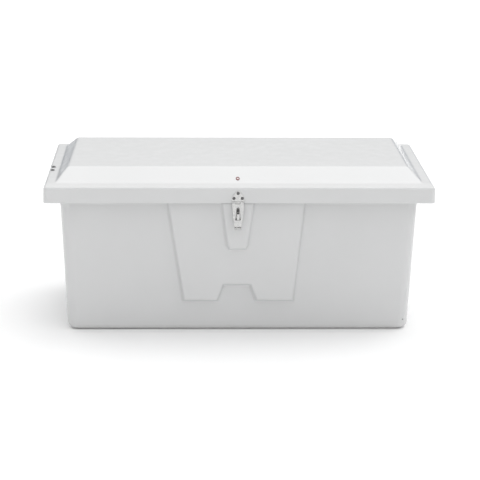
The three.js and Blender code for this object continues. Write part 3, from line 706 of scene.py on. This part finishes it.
def crown_height(x, y, inset):
    """Height of the lid's upper face, or of a face this far below it."""
    rise = CREASE_RISE / (CROWN_CREASE - CROWN_FRONT)
    fall = (BACK_RISE - CREASE_RISE) / (CROWN_BACK - CROWN_CREASE)
    steep = BACK_RISE / BACK_RUN
    front = LEDGE_TOP + rise * (y - CROWN_FRONT) - inset * math.hypot(1, rise)
    top = LEDGE_TOP + CREASE_RISE + fall * (y - CROWN_CREASE) - inset * math.hypot(1, fall)
    back = LEDGE_TOP + BACK_RISE - steep * (y - CROWN_BACK + BACK_RUN) - inset * math.hypot(1, steep)
    ends = LEDGE_TOP + (CROWN_END - np.abs(x)) / END_RUN - inset * math.hypot(1, 1 / END_RUN)
    crown = soft_min(front, top, 1.6)
    crown = soft_min(crown, back, 6)
    crown = soft_min(crown, ends, 5)
    forward = np.clip((CROWN_FRONT - y) / (CROWN_FRONT + LID_HALF[1]), 0, 1)
    ledge = LEDGE_TOP - inset - LEDGE_FALL * forward ** 1.3
    return soft_max(ledge, crown, 3)


def lid_shell():
    half = [h - SKIRT_FLARE - LID_EDGE for h in LID_HALF]
    corner = LID_CORNER - LID_EDGE
    xs = spread((-half[0], -half[0] + 5, 1), (-half[0] + 5, -528, 2.2), (-528, 528, 132),
                (528, half[0] - 5, 2.2), (half[0] - 5, half[0], 1))
    ys = spread((-half[1], -half[1] + 5, 1), (-half[1] + 5, -262, 5), (-262, -230, 2.5), (-230, -152, 4),
                (-152, -128, 2), (-128, 244, 6), (244, 256, 2), (256, 270, 0.7), (270, half[1] - 5, 3),
                (half[1] - 5, half[1], 1))
    x, y = np.meshgrid(xs, ys)
    a, b = np.abs(x) - half[0] + corner, np.abs(y) - half[1] + corner
    in_corner = (a > 0) & (b > 0)
    reach = np.maximum(a, b)
    share = np.where(a >= b, b / np.maximum(a, 1e-9), a / np.maximum(b, 1e-9))
    turn = np.where(a >= b, share, 2 - share) * math.pi / 4
    u = np.where(in_corner, half[0] - corner + reach * np.cos(turn), np.abs(x)) * np.sign(x)
    v = np.where(in_corner, half[1] - corner + reach * np.sin(turn), np.abs(y)) * np.sign(y)
    rows, columns = x.shape

    def border(values):
        return np.concatenate([values[0, :-1], values[:-1, -1], values[-1, :0:-1], values[:0:-1, 0]])

    loop_u, loop_v = border(u), border(v)
    base = np.array([half[0] - corner, half[1] - corner])
    centre_share = np.clip(np.column_stack([loop_u, loop_v]) / base, -1, 1)
    direction = np.column_stack([loop_u, loop_v]) - centre_share * base
    direction /= np.linalg.norm(direction, axis=1)[:, None]

    def ring(inwards, radius, z):
        middle = np.array([LID_HALF[0] - inwards - radius, LID_HALF[1] - inwards - radius])
        flat = centre_share * middle + direction * radius
        return np.column_stack([flat, np.full(len(flat), z)])

    rings = []
    for angle in np.linspace(math.pi / 2, 0, 9)[1:]:
        inwards = LID_EDGE * (1 - math.cos(angle))
        height = LEDGE_TOP - LID_EDGE * (1 - math.sin(angle))
        rings.append(ring(SKIRT_FLARE + inwards, LID_CORNER - inwards, height))
    inner_corner = LID_CORNER - WALL
    rings += [
        ring(0.8, LID_CORNER, 462),
        ring(0.06, LID_CORNER, SKIRT_BOTTOM + 2),
        ring(0.5, LID_CORNER - 0.5, SKIRT_BOTTOM + 0.6),
        ring(1.5, LID_CORNER - 1.5, SKIRT_BOTTOM),
        ring(WALL - 1.4, inner_corner + 1.4, SKIRT_BOTTOM),
        ring(WALL - 0.4, inner_corner + 0.4, SKIRT_BOTTOM + 0.6),
        ring(WALL, inner_corner, SKIRT_BOTTOM + 2),
        ring(WALL + SKIRT_FLARE, inner_corner, LEDGE_TOP - WALL),
    ]
    top = np.column_stack([u.ravel(), v.ravel(), crown_height(u, v, 0).ravel()])
    under = np.column_stack([u.ravel(), v.ravel(), crown_height(u, v, WALL).ravel()])
    count = rows * columns
    index = np.arange(count).reshape(rows, columns)
    points = [top] + rings + [under]
    start = count
    faces = grid_faces(rows, columns, 0, wrap=False)
    loop = list(border(index))
    chain = [loop]
    for made_ring in rings:
        chain.append(list(range(start, start + len(made_ring))))
        start += len(made_ring)
    chain.append([i + start for i in loop])
    for low, high in zip(chain, chain[1:]):
        for i in range(len(loop)):
            j = (i + 1) % len(loop)
            faces.append((low[i], high[i], high[j], low[j]))
    outer_faces = len(faces) - 3 * len(loop)
    faces += [tuple(i + start for i in f[::-1]) for f in grid_faces(rows, columns, 0, wrap=False)]
    indices = [0] * outer_faces + [1] * (len(faces) - outer_faces)
    piece("lid_moulding", "lid_shell", np.concatenate(points), faces, angle=50,
          materials=[GELCOAT, laminate.material], indices=indices)


lid_shell()

refined("lid_liner", 0.8)

# ---------------------------------------------------------------- gasket


def rim_gasket():
    bulb = [(5.5 * math.cos(t), 4.6 + 4.05 * math.sin(t)) for t in np.linspace(0.2, math.pi - 0.2, 9)]
    profile = [(5.5, 0.0), (5.5, 4.6), *bulb, (-5.5, 4.6), (-5.5, 0.0)]
    rings = []
    for out, up in profile:
        radius = 35 + out
        a, b = 579.5 - 35, 275.5 - 35
        loop = [(sx * a + radius * math.cos(t), sy * b + radius * math.sin(t))
                for k, (sx, sy) in enumerate([(1, 1), (-1, 1), (-1, -1), (1, -1)])
                for t in np.linspace(k * math.pi / 2, (k + 1) * math.pi / 2, 13)]
        rings.append([(x, y, RIM_TOP + GAP + up) for x, y in loop])
    count = len(rings[0])
    rings.append(rings[0])
    return piece("rim_seal", "rim_gasket", np.concatenate(rings), grid_faces(len(rings), count), angle=40)


rim_gasket()

# ---------------------------------------------------------------- fasteners


NUT_HEIGHT = 3.4
SEAT = 0.05  # between a bolt's head and the face under it


def bolt(length, head=5.0, height=3.0, shank=2.2, socket=1.7):
    """A button-head bolt: the head stands on y = 0 with a hexagon socket, the shank goes down."""
    dome = [(head * math.cos(t), height * (0.22 + 0.78 * math.sin(t))) for t in np.linspace(0.08, 1.15, 6)]
    return revolve([(0, -length), (shank * 0.75, -length), (shank, -length + 0.6), (shank, -0.02),
                    (head * 0.94, -0.02), (head, 0.25), *dome, (socket * 1.12, height * 0.97),
                    (socket, height * 0.9, 6), (socket, height * 0.35, 6), (0, height * 0.28)], 24)


def nut(radius=4.6, height=NUT_HEIGHT, shank=2.2):
    """A chamfered hexagon nut with the end of its bolt, from y = 0 down to y = -height."""
    flat = radius * 0.84
    return revolve([(0, -height + 0.5), (shank, -height + 0.5), (shank + 0.5, -height), (flat, -height),
                    (radius, -height + 0.5, 6), (radius, -0.5, 6), (flat, 0), (0, 0)], 24)


def bolts(name, node, count, solid, points, turn, place):
    for i in range(count):
        piece(f"{name}_{i + 1}", f"{node}_{i + 1}", *moved(solid, points[i], turn), place, angle=40,
              materials=[screw.material])


# ---------------------------------------------------------------- continuous hinge

FACE = LID_HALF[1] - HINGE_Y  # the skirt's back face, seen from the hinge axis
BLADE, STRIP = 1.5, 3  # thickness of a leaf and of a backing strip
BODY_BOLT_Z, LID_BOLT_Z = -25, 20  # from the hinge axis
BOLT_X = [(i - 3) * 150 for i in range(7)]


def hinge_leaf(name, node, side, width, place):
    back = FACE + GAP
    low, high = sorted((side * 4.4, side * width))
    leaf = cuboid((-HINGE_HALF, back, low), (HINGE_HALF, back + BLADE, high))
    made = piece(name, node, *leaf, place)
    meet = math.degrees(math.acos((back + BLADE) / 3.5))
    start = math.degrees(math.asin(0.2 / 3.5))
    curl = [(back, side * 5), (back, side * 0.2)]
    curl += [(y, side * z) for y, z in arc(0, 0, 3.5, 180 - start, 360 + meet, 30)]
    curl += [(back + BLADE, side * 5)]
    length = 2 * HINGE_HALF / KNUCKLES
    rolls = []
    for i in range(0 if side > 0 else 1, KNUCKLES, 2):
        centre = -HINGE_HALF + (i + 0.5) * length
        rolls.append(extrude(curl, centre - length / 2 + GAP, centre + length / 2 - GAP, "x"))
    boolean(made, merge(*rolls), place, "UNION")
    smoothed(made.data, 30)
    bevelled(made, 0.25, 2, 40)


hinge_leaf("leaf_body", "hinge_leaf_body", -1, 38, HINGE_ON_BODY)
hinge_leaf("leaf_lid", "hinge_leaf_lid", 1, 34, HINGE_ON_LID)
pin_end = HINGE_HALF + 2
piece("pin", "hinge_pin", *moved(revolve([(0, -pin_end), (0.9, -pin_end), (1.5, -pin_end + 0.6),
      (1.5, pin_end - 0.6), (0.9, pin_end), (0, pin_end)], 24), turn=TO_X), HINGE_ON_BODY)


def welded_strip(name, node, outline_solid, places, nut_face, turn, place):
    """A backing strip and its nuts, each in a bead of weld."""
    bead = revolve([(4.0, 0.3), (5.5, 0.3), (5.2, -0.5), (4.6, -1.0), (4.0, -0.6), (4.0, 0.3)], 24)
    solids = [outline_solid]
    for x, z in places:
        solids += [moved(nut(), (x, nut_face, z), turn), moved(bead, (x, nut_face, z), turn)]
    return bevelled(piece(name, node, *merge(*solids), place), 0.3, 1, 50)


strip_face = FACE - WALL - GAP
for name, node, z, place in (("strip_body", "hinge_strip_body", BODY_BOLT_Z, HINGE_ON_BODY),
                             ("strip_lid", "hinge_strip_lid", LID_BOLT_Z, HINGE_ON_LID)):
    strip = cuboid((-HINGE_HALF, strip_face - STRIP, z - 9), (HINGE_HALF, strip_face, z + 9))
    welded_strip(name, node, strip, [(x, z) for x in BOLT_X], strip_face - STRIP, Matrix(), place)

hinge_bolt = bolt(WALL + BLADE + STRIP + NUT_HEIGHT + 4 * GAP)
bolt_face = FACE + BLADE + GAP + SEAT
for name, node, z, place in (("bolt_body", "hinge_bolt_body", BODY_BOLT_Z, HINGE_ON_BODY),
                             ("bolt_lid", "hinge_bolt_lid", LID_BOLT_Z, HINGE_ON_LID)):
    bolts(name, node, 7, hinge_bolt, [(x, bolt_face, z) for x in BOLT_X], Matrix(), place)

# ---------------------------------------------------------------- hasp

PIN_Y, PIN_Z, KNUCKLE = -3.9, 3, 3.2
PLATE, HASP_HALF, MIDDLE = 1.8, 19, 7
HASP_PLACES = [(0, 33), (-13, 17), (13, 17)]
HASP_TOP = arc(0, 31, 9, 25, 155, 14)


def barrel(radius, start, end, at=(0, 0, 0)):
    profile = [(0, start), (radius - 0.4, start), (radius, start + 0.4), (radius, end - 0.4),
               (radius - 0.4, end), (0, end)]
    return moved(revolve(profile, 32), at, TO_X)


def hasp():
    outline = [(-HASP_HALF, 7), (HASP_HALF, 7), (HASP_HALF, 20), *HASP_TOP, (-HASP_HALF, 20)]
    tab = cuboid((-MIDDLE, -GAP - PLATE, PIN_Z), (MIDDLE, -GAP, 8))
    plate = piece("hasp_leaf", "hasp_plate", *extrude(outline, -GAP, -GAP - PLATE), SKIRT_FRONT)
    boolean(plate, tab, SKIRT_FRONT, "UNION")
    boolean(plate, barrel(KNUCKLE, -MIDDLE, MIDDLE, (0, PIN_Y, PIN_Z)), SKIRT_FRONT, "UNION")
    smoothed(plate.data, 30)
    bevelled(plate, 0.45, 3, 40)
    piece("hasp_pivot", "hasp_pin", *barrel(1.5, -HASP_HALF, HASP_HALF, (0, PIN_Y, PIN_Z)), SKIRT_FRONT)
    backing = [(-HASP_HALF, 9), (HASP_HALF, 9), (HASP_HALF, 24), *HASP_TOP, (-HASP_HALF, 24)]
    inner = WALL + GAP
    welded_strip("hasp_back", "hasp_backing", extrude(backing, inner, inner + PLATE), HASP_PLACES,
                 inner + PLATE, TO_FRONT, SKIRT_FRONT)
    face = -PLATE - GAP - SEAT
    bolts("hasp_screw", "hasp_bolt", 3, bolt(WALL + 2 * PLATE + NUT_HEIGHT + 4 * GAP),
          [(x, face, z) for x, z in HASP_PLACES], TO_FRONT, SKIRT_FRONT)


hasp()

STRAP = CHEST @ Matrix.Translation((CHEST.inverted() @ SKIRT_FRONT) @ Vector((0, PIN_Y, PIN_Z)))


def strap():
    """The tongue as one sheet that follows its centre line down and round the curl, with the slot."""
    curl = 4.6
    top = -3.9
    line = [(0, z) for z in spread((top, -12, 1.6), (-12, -20, 0.8), (-20, -52, 2), (-52, -58, 0.6),
                                   (-58, -80, 2))]
    line += arc(-curl, -80, curl, 0, -180, 18)[1:]
    length, travelled = 0, []
    for before, after in zip([line[0]] + line, line):
        length += math.dist(before, after)
        travelled.append(top - length)
    rows = []
    for (y, z), s in zip(line, travelled):
        wide = np.interp(s, (-95, -86, -74, -62, -46, -8, 4), (10.6, 11.2, 11.2, 12.6, 15.4, 18.3, 18.5))
        slot = np.interp(s, (-53.5, -19), (8.5, 5))
        if s > -19:
            slot = 5 * math.sqrt(max(0, 1 - ((s + 19) / 5) ** 2))
        if s < -53.5:
            slot = 5.5 + 3 * math.sqrt(max(0, 1 - ((s + 53.5) / 3) ** 2))
        if s < -56.5 or s > -14:
            slot = 0
        rows.append([(side * (slot + (wide - slot) * t), y, z) for side in (-1, 1)
                     for t in ((1, 0.6, 0.25, 0) if side < 0 else (0, 0.25, 0.6, 1))])
    points = np.array(rows).reshape(-1, 3)
    faces = []
    for r in range(len(rows) - 1):
        for c in range(7):
            if c == 3:
                continue
            low, high = r * 8, (r + 1) * 8
            faces.append((low + c, low + c + 1, high + c + 1, high + c))
    made = piece("hasp_tongue", "hasp_strap", points, faces, STRAP)
    thick = made.modifiers.new("sheet", "SOLIDIFY")
    thick.thickness, thick.offset = 0.0022, 0
    solid = bpy.data.meshes.new_from_object(made.evaluated_get(bpy.context.evaluated_depsgraph_get()))
    made.modifiers.clear()
    made.data = solid
    for side in (-1, 1):
        near, far = sorted((side * (MIDDLE + GAP), side * 18.5))
        boolean(made, cuboid((near, -1.1, -5), (far, 1.1, 0)), STRAP, "UNION")
        boolean(made, barrel(KNUCKLE, near, far), STRAP, "UNION")
    smoothed(made.data, 30)
    bevelled(made, 0.4, 2, 45)


strap()

# ---------------------------------------------------------------- staple

STAPLE_PLACES = [(0, 14.5), (0, -14.5)]
STAPLE_SHEET = 2  # thickness of the staple's plates


def staple():
    outline = rounded(14, 20.5, 5, steps=8)
    hole = [(4.5 * math.cos(math.atan2(z, x)), 4.5 * math.sin(math.atan2(z, x))) for x, z in outline]
    face = piece("staple_face", "staple_plate", *tube(outline, hole, -GAP, -GAP - STAPLE_SHEET), STAPLE_PAD)
    bevelled(face, 0.5, 3)
    inner = WALL + GAP
    far = inner + STAPLE_SHEET
    welded_strip("staple_back", "staple_backing", tube(outline, hole, inner, far), STAPLE_PLACES, far,
                 TO_FRONT, STAPLE_PAD)
    bolts("staple_screw", "staple_bolt", 2, bolt(WALL + 2 * STAPLE_SHEET + NUT_HEIGHT + 4 * GAP),
          [(x, -STAPLE_SHEET - GAP - SEAT, z) for x, z in STAPLE_PLACES], TO_FRONT, STAPLE_PAD)
    front, back, half_high, thick, bore = -31, -14.3, 10.5, 4, 4.4
    middle = (front + back) / 2
    outline = rounded((back - front) / 2, half_high, 5, middle, 0, steps=8)
    hole = [(middle + bore * math.cos(t), bore * math.sin(t))
            for t in (math.atan2(z, y - middle) for y, z in outline)]
    eye = piece("staple_head", "staple_eye", *tube(outline, hole, -thick, thick, "x"), STAPLE_PAD)
    stem_end = WALL + STAPLE_SHEET + 6
    stem = revolve([(0, back - 2), (4, back - 2), (4, stem_end - 0.6), (3.4, stem_end), (0, stem_end)], 32)
    boolean(eye, stem, STAPLE_PAD, "UNION")
    smoothed(eye.data, 30)
    bevelled(eye, 0.9, 3, 40)
    near = WALL + STAPLE_SHEET + 2 * GAP
    ring = [(4.3, near), (6.6, near), (7, near + 0.4), (7, near + 2.6), (6.6, near + 3), (4.3, near + 3),
            (4.3, near)]
    piece("eye_clip", "eye_retainer", *revolve(ring, 32), STAPLE_PAD)


staple()

# ---------------------------------------------------------------- badge

BADGE_RISE = CREASE_RISE / (CROWN_CREASE - CROWN_FRONT)
BADGE_Y = -218
BADGE_Z = LEDGE_TOP + (BADGE_Y - CROWN_FRONT) * BADGE_RISE
BADGE = frame_at((HAND_X + 1, BADGE_Y, BADGE_Z), "X", math.atan(BADGE_RISE))
STRETCH = Matrix.Scale(1.85, 4, (0, 1, 0)) @ TO_UP  # an oval, longer up the slope
piece("badge_rim", "badge_ring", *moved(revolve([(3.3, 0.1), (5.9, 0.1), (5.9, 0.8), (5.7, 1.2), (5.2, 1.65),
      (4.7, 1.8), (3.9, 1.7), (3.3, 1.3), (3.3, 0.1)], 40), turn=STRETCH), BADGE)
piece("badge_dot", "badge_button", *moved(revolve([(0, 0.1), (2.9, 0.1), (2.9, 0.9), (2.5, 1.2), (1.6, 1.4),
      (0.8, 1.5), (0, 1.5)], 32), turn=STRETCH), BADGE)

# ---------------------------------------------------------------- gas spring


def gas_spring():
    ahead, behind, ball_bore = 17, 9, 5.7
    lower = revolve([(0, -behind), (6.6, -behind), (8, -behind + 1.4), (8, ahead - 1), (7, ahead),
                     (0, ahead)], 40)
    lower_socket = piece("socket_low", "spring_socket_lower", *lower, SPRING)
    drill = revolve([(0, -14), (ball_bore, -14), (ball_bore, 16), (0, 16)], 32)
    boolean(lower_socket, moved(drill, (-10.2 + ball_bore, 0, 0), TO_X), SPRING, "DIFFERENCE")
    smoothed(lower_socket.data, 30)
    start, end = ahead + GAP, ahead + GAP + 215
    tube_profile = [(0, start), (8.2, start), (9, start + 1.2), (9, start + 8), (8.7, start + 9),
                    (9, start + 10), (9, end - 9), (8.6, end - 8), (9, end - 7), (9, end - 2), (8, end),
                    (4.6, end), (4.6, end - 7), (7.7, end - 7), (7.7, start + 4), (0, start + 4)]
    piece("cylinder", "spring_cylinder", *revolve(tube_profile, 48), SPRING)
    top = SPRING_LENGTH - ahead - GAP
    piston = ahead + 5
    rod = [(0, piston), (7, piston), (7, piston + 6), (4, piston + 6), (4, top - 0.5), (3.5, top), (0, top)]
    piece("rod", "spring_rod", *revolve(rod, 40), SPRING)
    first, last = SPRING_LENGTH - ahead, SPRING_LENGTH + behind
    upper = [(0, first), (7, first), (8, first + 1), (8, last - 1.4), (6.6, last), (0, last)]
    piece("socket_high", "spring_socket_upper", *revolve(upper, 40), SPRING)
    bracket, ear_x = 3, -552
    step = WALL + bracket + 2 * GAP
    ball_at = SPRING_X - SPRING_WALL_X
    ball = [(4.8 * math.sin(t), ball_at - 4.8 * math.cos(t)) for t in np.linspace(0.7, math.pi, 12)[:-1]]
    stud = [(0, step), (7.4, step), (8, step + 0.5), (8, step + 1.6), (7.5, step + 2), (3, step + 2), *ball,
            (0, ball_at + 4.8)]
    piece("stud_low", "spring_stud_lower", *moved(revolve(stud, 32), turn=TO_X), LEFT_WALL)
    near, far = ear_x + bracket + GAP, SPRING_X - 8 - 1
    piece("stud_high", "spring_stud_upper",
          *moved(revolve([(0, near), (4.6, near), (5, near + 0.4), (5, far - 0.6), (4.4, far), (0, far)], 32),
                 (0, *SPRING_UPPER), TO_X), CHEST)
    refined("spring_bracket_body", 0.5)
    refined("spring_bracket_lid", 0.5)
    bolts("bracket_bolt", "spring_bolt_body", 2, bolt(step + NUT_HEIGHT + 2 * GAP),
          [(-SEAT, y, 0) for y in (17, -17)], TO_LEFT, LEFT_WALL)
    bolts("bracket_nut", "spring_nut_body", 2, nut(), [(step, y, 0) for y in (17, -17)], TO_LEFT, LEFT_WALL)
    bolt_x, shank = -596, 2.6
    rows = [SPRING_UPPER[0] - 21.5, SPRING_UPPER[0] + 21.5]
    under = LEDGE_TOP - WALL - GAP - bracket - GAP
    ledge_bolt = bolt(WALL + bracket + NUT_HEIGHT + 1, head=6.6, height=3.8, shank=shank, socket=2.6)
    bolts("ledge_bolt", "spring_bolt_lid", 2, ledge_bolt,
          [(bolt_x, y, LEDGE_TOP + SEAT) for y in rows], TO_UP, CHEST)
    bolts("ledge_nut", "spring_nut_lid", 2, nut(5.4, shank=shank), [(bolt_x, y, under) for y in rows],
          TO_UP, CHEST)


gas_spring()

core = frame["nodes"]["lid_core"].material_slots[0]
core.link = "OBJECT"
core.material = foam.material

# ---------------------------------------------------------------- floor

ground = bpy.data.meshes.new("floor")
FLOOR_HALF = 14
ground.from_pydata([(x, y, 0) for x, y in ((-1, -1), (1, -1), (1, 1), (-1, 1))], [], [(0, 1, 2, 3)])
for vertex in ground.vertices:
    vertex.co *= FLOOR_HALF
floor = bpy.data.objects.new("floor", ground)
scene.collection.objects.link(floor)
floor_look = Look("floor", (0.98, 0.98, 0.98), 0.9)
floor_look.vary_colour(floor_look.noise(0.8, 3), (0.965, 0.966, 0.968))
floor_look.bump(floor_look.noise(30, 3), 0.0005, 0.3)
ground.materials.append(floor_look.material)
